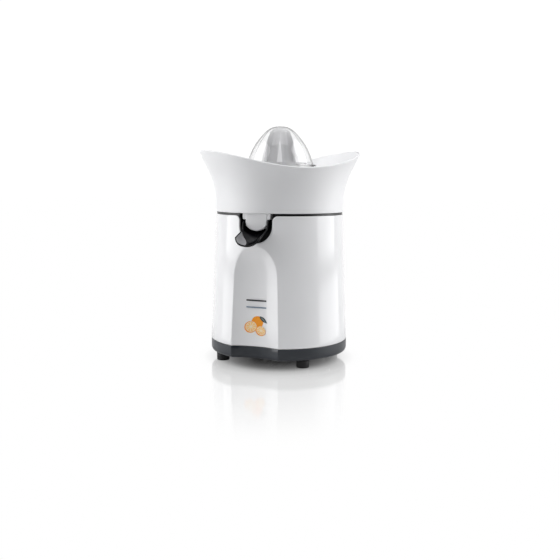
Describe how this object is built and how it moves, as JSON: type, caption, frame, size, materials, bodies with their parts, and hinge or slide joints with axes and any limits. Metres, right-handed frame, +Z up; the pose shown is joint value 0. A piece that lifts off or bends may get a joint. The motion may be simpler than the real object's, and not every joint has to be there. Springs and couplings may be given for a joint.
{
  "type": "citrus press",
  "caption": "Electric citrus press: round housing on a dark base, lift-off flared bowl with wavy rim, flip-up spout, strainer and two nested reamer cones driven by pressing down.",
  "frame": {"origin": "on the table, under the middle of the outline; the drive axis stands 4 mm behind it", "axes": "+Z up along the drive axis, spout towards -Y, +X to the right of someone facing the spout"},
  "size_m": [0.1752, 0.1834, 0.2625],
  "materials": {
    "white_gloss": "gloss moulded white plastic",
    "white_satin": "satin moulded white plastic",
    "dark_base": "dark blue-grey satin plastic",
    "black_gloss": "gloss black plastic",
    "black_satin": "satin black plastic",
    "grey_plastic": "satin mid grey plastic",
    "clear_plastic": "clear polished plastic",
    "rubber": "black rubber",
    "steel": "bright turned steel",
    "zinc_plate": "zinc plated sheet steel",
    "lamination": "stacked steel laminations",
    "copper": "enamelled copper winding",
    "nylon": "natural nylon",
    "print_orange": "orange screen print",
    "print_green": "dark green screen print"
  },
  "bodies": {
    "housing": {"base_pan": "dark_base", "foot_1": "rubber", "foot_2": "rubber", "foot_3": "rubber", "foot_4": "rubber", "base_screw_1": "steel", "base_screw_2": "steel", "base_screw_3": "steel", "body_shell": "white_gloss", "spout_liner": "black_satin", "top_deck": "black_satin", "upper_bushing": "nylon", "shaft_seal": "rubber", "cord_grommet": "black_satin", "cord_clamp": "nylon", "gearbox_screw_1": "steel", "gearbox_screw_2": "steel", "gearbox_screw_3": "steel", "gearbox_plate": "zinc_plate", "gearbox_cover": "nylon", "lower_bushing": "steel", "idler_pin": "steel", "motor_stator": "lamination", "motor_coil": "copper", "motor_bracket_upper": "zinc_plate", "motor_bracket_lower": "zinc_plate", "motor_spacer_1": "steel", "motor_spacer_2": "steel", "motor_screw_1": "steel", "motor_screw_2": "steel", "micro_switch": "black_satin"},
    "bowl": {"bowl": "white_satin"},
    "spout": {"spout_lever": "black_gloss"},
    "strainer": {"strainer": "white_satin"},
    "press": {"thrust_collar": "nylon", "press_spring": "steel"},
    "spindle": {"drive_shaft": "steel"},
    "small_cone": {"small_cone": "grey_plastic"},
    "large_cone": {"large_cone": "clear_plastic"},
    "output_gear": {"output_gear": "nylon", "gear_clip": "steel"},
    "idler": {"idler_gear": "nylon"},
    "rotor": {"motor_rotor": "lamination", "motor_pinion": "steel"},
    "plunger": {"switch_plunger": "nylon"}
  },
  "joints": [
    {"name": "bowl_lift", "type": "slide", "parent": "housing", "child": "bowl", "axis": [0, 0, 1], "range_m": [0, 0.08]},
    {"name": "spout_tilt", "type": "hinge", "parent": "bowl", "child": "spout", "pos_m": [0, -0.062, 0.1535], "axis": [-1, 0, 0], "range_deg": [0, 50]},
    {"name": "strainer_lift", "type": "slide", "parent": "bowl", "child": "strainer", "axis": [0, 0, 1], "range_m": [0, 0.04]},
    {"name": "press_stroke", "type": "slide", "parent": "housing", "child": "press", "axis": [0, 0, 1], "range_m": [-0.0025, 0], "stiffness_N_per_m": 800, "springref_m": 0.005, "deforming": ["press_spring"]},
    {"name": "cone_spin", "type": "hinge", "parent": "press", "child": "spindle", "pos_m": [0, 0.004, 0.15], "axis": [0, 0, 1], "continuous": true},
    {"name": "small_cone_lift", "type": "slide", "parent": "spindle", "child": "small_cone", "axis": [0, 0, 1], "range_m": [0, 0.16]},
    {"name": "large_cone_lift", "type": "slide", "parent": "small_cone", "child": "large_cone", "axis": [0, 0, 1], "range_m": [0, 0.08]},
    {"name": "output_spin", "type": "hinge", "parent": "housing", "child": "output_gear", "pos_m": [0, 0.004, 0.115], "axis": [0, 0, 1], "continuous": true},
    {"name": "idler_spin", "type": "hinge", "parent": "housing", "child": "idler", "pos_m": [0, 0.03837, 0.11], "axis": [0, 0, 1], "continuous": true},
    {"name": "motor_spin", "type": "hinge", "parent": "housing", "child": "rotor", "pos_m": [-0.0221, 0.01628, 0.06], "axis": [0, 0, 1], "continuous": true},
    {"name": "switch_press", "type": "slide", "parent": "housing", "child": "plunger", "axis": [0, 0, 1], "range_m": [-0.0025, 0]}
  ],
  "couplings": [
    {"joint": "output_spin", "follows": "cone_spin", "ratio": 1},
    {"joint": "idler_spin", "follows": "cone_spin", "ratio": -4},
    {"joint": "motor_spin", "follows": "cone_spin", "ratio": 16},
    {"joint": "switch_press", "follows": "press_stroke", "ratio": 1},
    {"joint": "bowl_lift", "follows": "small_cone_lift", "ratio": 0.5},
    {"joint": "strainer_lift", "follows": "small_cone_lift", "ratio": 0.25}
  ]
}
